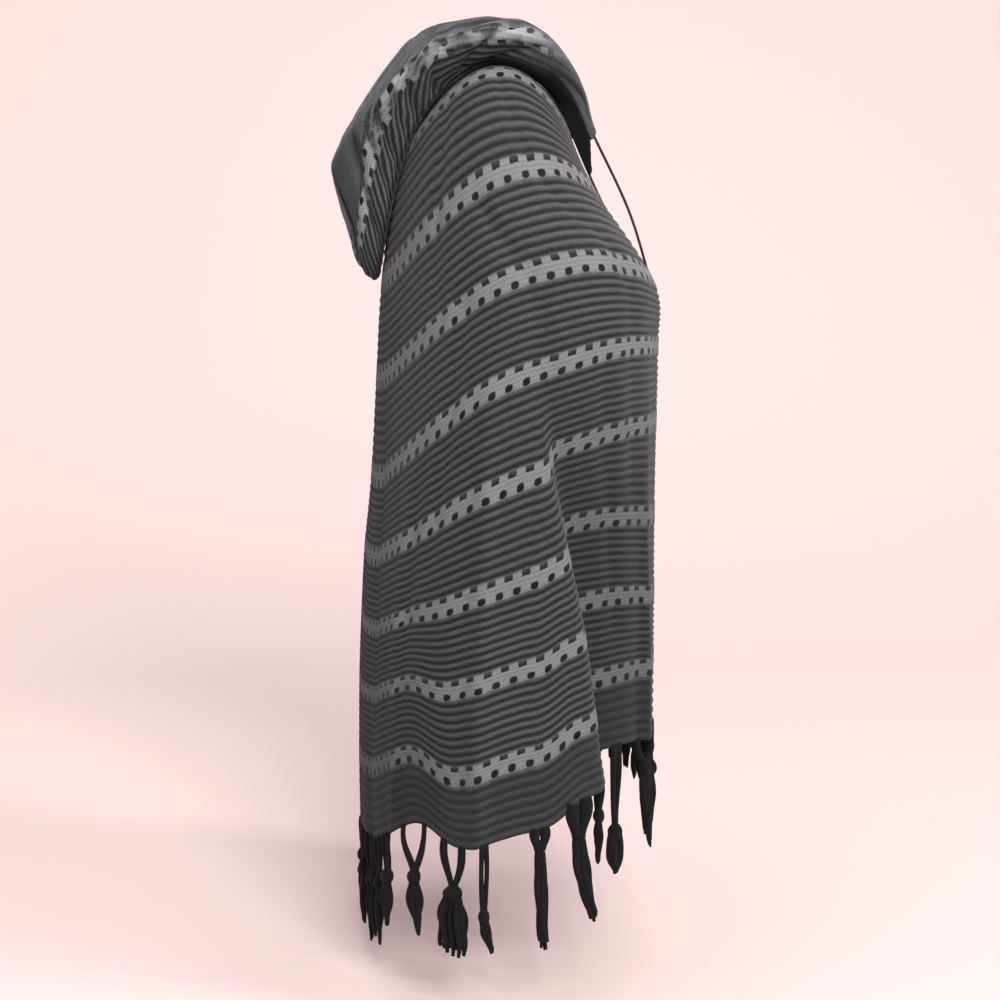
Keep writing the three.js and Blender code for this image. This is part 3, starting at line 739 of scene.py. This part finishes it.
def knit_hood(side):
    stations = even_columns(
        lambda c: hood_surface(side, c, np.array([0.75]))[:, 0], HOOD_GRID_COLUMNS
    )
    along = hood_rows(side)
    middle = hood_surface(side, stations, along)
    normals = grid_normals(middle, side)
    at_grid, along_grid = np.meshgrid(stations, along, indexing="ij")
    outside = 1 - 2 * ease((along_grid - FOOT_ALONG + 0.03) / 0.06)
    folded = crease_depth(HOOD_CREASES[side], at_grid, along_grid, 0.5) * outside
    plain = ease((at_grid - 0.58) / 0.16) * ease((along_grid - 0.5) / 0.06)
    # Painted shade: near black in the shaded gap under the front edge, and a painted shadow line along the turn
    # at the foot.
    painted_shade = ease((at_grid - 0.66) / 0.08) * (1 - ease((along_grid - 0.57) / 0.05))
    painted_shade = np.maximum(painted_shade, 0.85 * (1 - ease(np.abs(along_grid - FOOT_ALONG - 0.005) / 0.03)))
    middle = middle + normals * folded[..., None]
    normals = grid_normals(middle, side)
    steps = np.linalg.norm(np.diff(middle, axis=1), axis=-1)
    reach = np.concatenate([np.zeros((len(stations), 1)), np.cumsum(steps, axis=1)], axis=1)
    at_foot = np.array([np.interp(FOOT_ALONG, along, line) for line in reach])[:, None]
    depth = reach - at_foot - HOOD_BAND_FROM_FOOT - 17 * np.exp(-(((at_grid - 0.42) / 0.16) ** 2))
    plain = np.maximum(plain, 0.9 * ease((depth - 7) / 9))
    length = run_lengths(middle, int(np.argmin(np.abs(stations - 0.38))))
    slant = -HOOD_SLANT * np.minimum(0, length)
    relief = RIDGE_HEIGHT * (ridge_height(depth, slant) - 0.35) * (1 - 0.8 * plain)
    relief = relief * (0.3 + 0.7 * ease((along_grid - 0.35) / 0.15)) * outside
    ridged = middle + normals * relief[..., None]
    outer, inner = ridged + normals * CLOTH / 2, ridged - normals * CLOTH / 2
    run = run_lengths(middle, HOOD_GRID_COLUMNS // 2) / DOT_PITCH
    uv = np.stack([run, depth / BAND_PITCH], axis=-1).reshape(-1, 2)
    quads, tris = wall_faces(*at_grid.shape, 1, side == "left")
    points = np.concatenate([outer.reshape(-1, 3), inner.reshape(-1, 3)])
    uvs = np.concatenate([uv, uv])
    piece = mesh_piece(f"{side}_knit_hood", points, quads, tris, uvs)
    piece.data.materials.append(hood_knit)
    for name, field in (("plain", plain), ("painted_shade", painted_shade), ("slant", slant)):
        values = np.r_[field.ravel(), field.ravel()].astype(np.float32)
        piece.data.attributes.new(name, "FLOAT", "POINT").data.foreach_set("value", values)
    return piece


hoods = {side: knit_hood(side) for side in ("right", "left")}

# %% [markdown]
# ## Fringe
# Two strands come out of the hem, are tied in one knot and hang on as a thick tassel. Hair particles
# would be too many and too thin for this heavy yarn, so each strand is a tube carried along its own
# path, and all the tubes of one side are joined into one mesh.

# %% Tubes along many paths at once
TUBE_SIDES = 7


def tubes(paths, radii):
    """Rings round each path: centre plus radius x (side x cosine + other side x sine)."""
    count, steps = radii.shape
    tangent = np.gradient(paths, axis=1)
    tangent /= np.linalg.norm(tangent, axis=-1, keepdims=True)
    side = np.cross(tangent, np.array([0.31, 0.95, 0.05]))
    side /= np.linalg.norm(side, axis=-1, keepdims=True)
    other = np.cross(tangent, side)
    turn = np.arange(TUBE_SIDES) * 2 * np.pi / TUBE_SIDES
    ring = side[:, :, None] * np.cos(turn)[:, None] + other[:, :, None] * np.sin(turn)[:, None]
    points = paths[:, :, None] + ring * radii[:, :, None, None]
    index = np.arange(count * steps * TUBE_SIDES).reshape(count, steps, TUBE_SIDES)
    after = np.roll(index, -1, axis=2)
    quads = np.stack([index[:, :-1], after[:, :-1], after[:, 1:], index[:, 1:]], axis=-1).reshape(-1, 4)
    centres = np.concatenate([paths[:, 0], paths[:, -1]])
    first = count * steps * TUBE_SIDES + np.arange(count)[:, None]
    last = first + count
    caps = np.concatenate([
        np.stack([after[:, 0], index[:, 0], np.broadcast_to(first, after[:, 0].shape)], axis=-1),
        np.stack([index[:, -1], after[:, -1], np.broadcast_to(last, after[:, 0].shape)], axis=-1),
    ]).reshape(-1, 3)
    down = np.broadcast_to(np.linspace(0, 1, steps)[None, :, None], (count, steps, TUBE_SIDES))
    round_it = np.broadcast_to(turn[None, None] / (2 * np.pi), down.shape)
    length = np.linalg.norm(np.diff(paths, axis=1), axis=-1).sum(axis=1)[:, None, None] / 10
    uv = np.stack([round_it, down * length], axis=-1).reshape(-1, 2)
    uv = np.concatenate([uv, np.zeros((2 * count, 2))])
    return np.concatenate([points.reshape(-1, 3), centres]), quads, caps, uv


def join_tubes(groups):
    """Several tube groups as one set of arrays, with each group's indices moved past the last."""
    points, quads, caps, uvs, start = [], [], [], [], 0
    for p, q, c, u in groups:
        points.append(p)
        quads.append(q + start)
        caps.append(c + start)
        uvs.append(u)
        start += len(p)
    return tuple(np.concatenate(part) for part in (points, quads, caps, uvs))


print("sides to a strand:", TUBE_SIDES)

# %% [markdown]
# ## Yarn
# The fringe is nearly black, softly twisted yarn. A slanting wave round each strand gives the twist, as a
# bump and as painted light and shade along the plies; fine noise gives the fuzz, and a weak sheen keeps
# the black from looking like plastic.

# %% The fringe's yarn material
def twisted_yarn(name, tone, light, twist_scale, sheen):
    g = Graph(name)
    coordinates = g.node("ShaderNodeTexCoord")
    split = g.node("ShaderNodeSeparateXYZ")
    g.plug(split.inputs[0], coordinates.outputs["UV"])
    place = coordinates.outputs["Object"]
    slant = g.math("ADD", g.math("MULTIPLY", split.outputs["Y"], twist_scale), split.outputs["X"])
    twist = g.math("ABSOLUTE", g.math("SINE", g.math("MULTIPLY", slant, 2 * math.pi)))
    fuzz = g.noise(place, 900.0, 4.0)
    # Painted light and shade along the twist, with the fuzz as a random tone.
    shade = g.math("MULTIPLY", g.math("ADD", g.math("MULTIPLY", twist, 0.6), fuzz), 0.5)
    g.plug(g.shader.inputs["Base Color"], g.mix(shade, from_hex(tone), from_hex(light)))
    g.plug(g.shader.inputs["Roughness"], g.math("ADD", 0.72, g.math("MULTIPLY", fuzz, 0.25)))
    g.shader.inputs["Sheen Weight"].default_value = sheen
    g.shader.inputs["Specular IOR Level"].default_value = 0.2
    bump = g.node("ShaderNodeBump")
    bump.inputs["Strength"].default_value = 0.7
    bump.inputs["Distance"].default_value = 0.0008
    g.plug(bump.inputs["Height"], g.math("ADD", twist, g.math("MULTIPLY", fuzz, 0.8)))
    g.plug(g.shader.inputs["Normal"], bump.outputs["Normal"])
    return g.material


black_yarn = twisted_yarn("black_yarn", "050506", "151617", 1.6, 0.03)
print("material:", black_yarn.name)

# %% [markdown]
# ## Tying the tassels
# The near tassels are set one by one, as uneven as they hang: some end blunt and some in a point, one
# is a plain strip, one has its knot far down. The far side takes the same rows in a shuffled order, from
# a seeded generator, so that the two sides differ and still come out the same every time.

# %% Tie the fringe of each half
TASSEL_COLUMNS = ("centre", "reach", "knot", "length", "wide", "lean", "blunt", "knotted")
TASSELS = np.array([
    (20, 8, 44, 112, 13, -3, 0.3, 1), (64, 9, 50, 118, 12, 3, 0.2, 1), (108, 8, 42, 108, 14, -2, 0.4, 1),
    (146, 8, 47, 116, 12, 2, 0.2, 1), (179, 9, 44, 101, 19, -3, 0.1, 1), (243, 17, 57, 119, 19, 7, 0.1, 1),
    (302, 11, 50, 116, 35, 2, 1.0, 1), (342, 2, 74, 114, 12, 9, 0.5, 1), (403, 3, 18, 126, 15, 4, 1.0, 0),
    (453, 6, 34, 127, 21, 17, 0.3, 0), (507, 7, 44, 96, 12, 3, 0.3, 1), (567, 3, 92, 137, 22, 0, 0.1, 1),
    (615, 10, 28, 118, 15, 6, 0.0, 1), (655, 8, 46, 110, 13, -3, 0.3, 1), (697, 9, 41, 118, 14, 2, 0.2, 1),
    (738, 8, 50, 112, 16, -2, 0.5, 1), (780, 9, 45, 116, 13, 3, 0.2, 1),
])
STRANDS = 11


def hem_line(side, count=1200):
    """The hem's points, their outward directions in plan and the length from the centre back."""
    column = even_columns(lambda c: half_surface(side, c, np.ones_like(c)), count)
    point, _, out = surface_frame(side, column, np.ones_like(column))
    reach = np.r_[0, np.cumsum(np.linalg.norm(np.diff(point, axis=0), axis=1))]
    return point, out, reach


def tassel_rows(side, rng):
    """The near rows as they are, or shuffled, moved a little and shortened toward the front."""
    rows = TASSELS.copy()
    if side == "left":
        rows[:, 1:] = rows[rng.permutation(len(rows)), 1:]
        rows[:, 0] += rng.uniform(-6, 6, len(rows))
        rows[:, 3] *= np.where(rows[:, 0] > 540, 0.80, 0.92)
        rows[:, 2] = np.minimum(rows[:, 2], rows[:, 3] * 0.6)
    return rows


def tie_fringe(side):
    rng = np.random.default_rng(11 if side == "right" else 23)
    centre, root_reach, knot, length, wide, lean, blunt, knotted = tassel_rows(side, rng).T[:, :, None]
    point, out, reach = hem_line(side)

    def at_reach(values, where):
        return np.stack([np.interp(where, reach, values[:, k]) for k in range(3)], axis=-1)

    hem = at_reach(point, centre)
    outward = at_reach(out, centre[:, 0])
    outward = (outward / np.linalg.norm(outward, axis=-1, keepdims=True))[:, None]
    beside = np.cross([0, 0, 1.0], outward)
    down = np.array([0, 0, -1.0])

    def hang(base, side_step, out_step, drop):
        return base + beside * side_step[..., None] + outward * out_step[..., None] + down * drop[..., None]

    groups = []
    leg = np.linspace(0, 1, 12)[None]
    for sign in (-1, 1):
        root = at_reach(point, np.clip(centre + sign * root_reach, 2, reach[-1] - 2))
        bring = ease(leg**1.3 * 1.02)[..., None]
        bow = sign * 1.8 * np.sin(np.pi * leg) + sign * 1.6 * (1 - knotted)
        legs = hang(root * (1 - bring) + hem * bring, bow, 0.8 * np.sin(2 * np.pi * leg) + 0 * bow,
                    (knot + 5) * leg - 3.0)
        thick = 2.6 + 0.035 * wide + (0.22 * wide - 1.2) * (1 - knotted)
        groups.append(tubes(legs, thick * (1 + 0.16 * np.sin(5 * leg + centre))))

    tie = np.linspace(0, 1, 9)[None]
    bulge = np.sin(np.pi * np.clip(tie, 0.04, 0.96)) ** 0.6
    groups.append(tubes(hang(hem, 0 * tie + 0 * knot, 0 * tie + 0 * knot, knot - 8 + 18 * tie),
                        1.2 + (2.8 + 0.20 * wide) * bulge * (0.55 + 0.45 * knotted)))

    s = np.linspace(0, 1, 13)[None]
    radius = np.clip(0.17 * wide, 2.2, 3.6)
    fill = (0.5 + 0.5 * ease(2.2 * s)) * (1 - 0.92 * (1 - blunt) * ease((s - 0.45) / 0.55))
    for n in range(STRANDS):
        turn = 2 * np.pi * n / STRANDS + rng.uniform(-0.3, 0.3, centre.shape)
        ring = (0.35 if n % 3 == 0 else 1.0) * (wide / 2 - radius) * rng.uniform(0.85, 1.2, centre.shape)
        curl = 1.3 * np.sin(2 * np.pi * (s * rng.uniform(0.7, 1.5, centre.shape) + n / STRANDS))
        end = length * rng.uniform(0.93, 1.02, centre.shape)
        path = hang(hem, ring * fill * np.cos(turn) + curl + lean * s**1.6,
                    0.6 * ring * fill * np.sin(turn) - 0.3 * curl, knot + 4 + (end - knot - 4) * s)
        groups.append(tubes(path, radius * (1 - 0.45 * s**4) * (1 + 0.10 * np.sin(9 * s + n))))

    points, quads, caps, uvs = join_tubes(groups)
    piece = mesh_piece(f"{side}_knotted_fringe", points, quads, caps, uvs)
    piece.data.materials.append(black_yarn)
    return piece


fringes = {side: tie_fringe(side) for side in ("right", "left")}
for piece in fringes.values():
    low = min(v.co.z for v in piece.data.vertices)
    print(f"{piece.name}: {len(piece.data.polygons)} faces, lowest tip {low:.3f} m")

# %% [markdown]
# ## The neck laces
# A thin brown lace runs straight from each front corner of the hood to the foot of the V. It is a real
# curve with a round bevel, held taut at both ends, so its length is what the frame's solid shows.

# %% The two laces
CORD_RADIUS = 1.5
LACE_AT = 0.985
LACE_ALONG = 0.70
LACE_FOOT_COLUMN = 0.996
LACE_FOOT_LEVEL = 0.347
LACE_BOW = {"right": 7.0, "left": -6.0}
lace_cord = twisted_yarn("brown_lace", "38211c", "5a3a30", 3.0, 0.05)


def lace_path(side, count=24):
    """A smooth line through the start on the hood, a middle a little forward, and the end on the body."""
    lie = CLOTH / 2 + SEAM_GAP + CORD_RADIUS
    near = np.array([LACE_AT - 0.02, LACE_AT, 1.0])
    spots = hood_surface(side, near, np.array([LACE_ALONG - 0.02, LACE_ALONG, LACE_ALONG + 0.02]))
    across, upward = spots[2, 1] - spots[0, 1], spots[1, 2] - spots[1, 0]
    face = np.cross(upward, across) if side == "right" else np.cross(across, upward)
    start = spots[1, 1] + face / np.linalg.norm(face) * (lie + SEAM_GAP)
    point, normal, _ = surface_frame(side, np.array([LACE_FOOT_COLUMN]), np.array([LACE_FOOT_LEVEL]))
    end = point[0] + normal[0] * lie
    middle = (start + end) / 2 - np.array([0, LACE_BOW[side], 0])
    return catmull_rom(np.stack([start, middle, end]), np.linspace(0, 1, count))


def make_lace(side):
    path = lace_path(side) * MM
    curve = bpy.data.curves.new(f"{side}_lace", "CURVE")
    curve.dimensions = "3D"
    curve.bevel_depth = CORD_RADIUS * MM
    curve.bevel_resolution = 4
    curve.use_fill_caps = True
    line = curve.splines.new("POLY")
    line.points.add(len(path) - 1)
    line.points.foreach_set("co", np.c_[path, np.ones(len(path))].ravel())
    line.use_smooth = True
    curve.materials.append(lace_cord)
    piece = bpy.data.objects.new(f"{side}_lace", curve)
    bpy.context.collection.objects.link(piece)
    length = float(np.linalg.norm(np.diff(path, axis=0), axis=1).sum())
    return piece, path[0], length


laces = {side: make_lace(side) for side in ("right", "left")}
for side, (piece, _, length) in laces.items():
    print(f"{piece.name}: {length * 1000:.0f} mm long, {2 * CORD_RADIUS:.0f} mm thick")

# %% [markdown]
# ## Put each piece on the frame
# Every piece rides on the one body and stands for its plain solid, which is hidden.

# %% Ride and replace
def settle(piece, node):
    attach(piece, "root")
    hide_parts(node)


for side in ("right", "left"):
    settle(halves[side], f"{side}_half")
    settle(hoods[side], f"{side}_hood")
    settle(fringes[side], f"{side}_fringe")
    settle(laces[side][0], f"{side}_neck_lace")
print("declared:", len(halves) + len(hoods), "sheets and", len(laces), "cords")

# %% [markdown]
# ## Floor, light and camera
# The backdrop is one pale pink sweep, so no line shows behind the garment. The key light stands high
# on the picture's right and a little in front, which lays a soft shadow on the floor to the left.

# %% The floor and its sweep
FLOOR = float(solid_box[0][2]) - 0.004


def sweep_line(count=40):
    """Floor forward, a quarter circle of 2.4 m and a wall, as distance from the camera and height."""
    turn = np.linspace(0, np.pi / 2, count)
    radius, start = 2.4, 1.5
    flat = np.array([[-6.0, 0.0], [start, 0.0]])
    bend = np.c_[start + radius * np.sin(turn), radius * (1 - np.cos(turn))]
    wall = np.array([[start + radius, 6.0]])
    return np.concatenate([flat, bend[1:], wall])


profile = sweep_line()
wide = np.linspace(-8, 8, 3)
away, across = np.meshgrid(profile[:, 0], wide, indexing="ij")
rise = np.broadcast_to(profile[:, 1][:, None], away.shape)
sweep_points = np.stack([away, across, rise + FLOOR], axis=-1).reshape(-1, 3) / MM
grid = np.arange(away.size).reshape(away.shape)
sweep_quads = np.stack([grid[:-1, :-1], grid[1:, :-1], grid[1:, 1:], grid[:-1, 1:]], axis=-1).reshape(-1, 4)
floor = mesh_piece("floor", sweep_points, sweep_quads, np.zeros((0, 3), int))
g = Graph("pale_floor")
mottle = g.noise(g.node("ShaderNodeTexCoord").outputs["Object"], 3.0)
g.plug(g.shader.inputs["Base Color"],
       g.mix(g.math("MULTIPLY", mottle, 0.04), from_hex("eed9d8"), from_hex("e9d4d3")))
g.shader.inputs["Roughness"].default_value = 0.95
g.shader.inputs["Specular IOR Level"].default_value = 0.0
g.shader.inputs["Emission Color"].default_value = from_hex("ffe3e1")
g.shader.inputs["Emission Strength"].default_value = 0.06
floor.data.materials.append(g.material)
floor.visible_diffuse = False
print("floor at", round(FLOOR, 3), "m")

# %% Lights
world = bpy.data.worlds.new("studio")
bpy.context.scene.world = world
world.use_nodes = True
world.node_tree.nodes["Background"].inputs["Color"].default_value = from_hex("fdfbff")
world.node_tree.nodes["Background"].inputs["Strength"].default_value = 0.27


def area_light(name, place, aim, size, power, tone):
    light = bpy.data.lights.new(name, "AREA")
    light.energy = power
    light.size = size
    light.color = from_hex(tone)[:3]
    lamp = bpy.data.objects.new(name, light)
    lamp.location = place
    lamp.rotation_euler = (Vector(aim) - Vector(place)).to_track_quat("-Z", "Y").to_euler()
    bpy.context.collection.objects.link(lamp)
    return lamp


area_light("key", (-6.4, -0.9, 3.2), (0, 0, -0.35), 2.8, 560, "fffaf6")
area_light("front_light", (-2.9, -5.0, 3.7), (0, 0, -0.45), 1.4, 168, "fff8f4")
area_light("far_fill", (2.3, -0.5, 2.4), (0, 0, -0.3), 2.4, 26, "fff8f6")
area_light("top_fill", (-0.6, 0.4, 2.6), (0, 0, -0.4), 3.0, 42, "fff6f4")

# %% The camera at the photo's angle
AZIMUTH, ELEVATION, DISTANCE = math.radians(264.6), math.radians(8.0), 2.85
AIM = Vector((0.0, -0.010, -0.370))
back = Vector((
    math.sin(AZIMUTH) * math.cos(ELEVATION), -math.cos(AZIMUTH) * math.cos(ELEVATION), math.sin(ELEVATION)
))
lens = bpy.data.cameras.new("camera")
lens.sensor_width = 36.0
lens.lens = 2530 / 1000 * 36.0
camera = bpy.data.objects.new("camera", lens)
camera.location = AIM + back * DISTANCE
camera.rotation_euler = (-back).to_track_quat("-Z", "Y").to_euler()
bpy.context.collection.objects.link(camera)
bpy.context.scene.camera = camera
bpy.context.scene.view_settings.view_transform = "Standard"
print("camera at", [round(v, 2) for v in camera.location], "m")
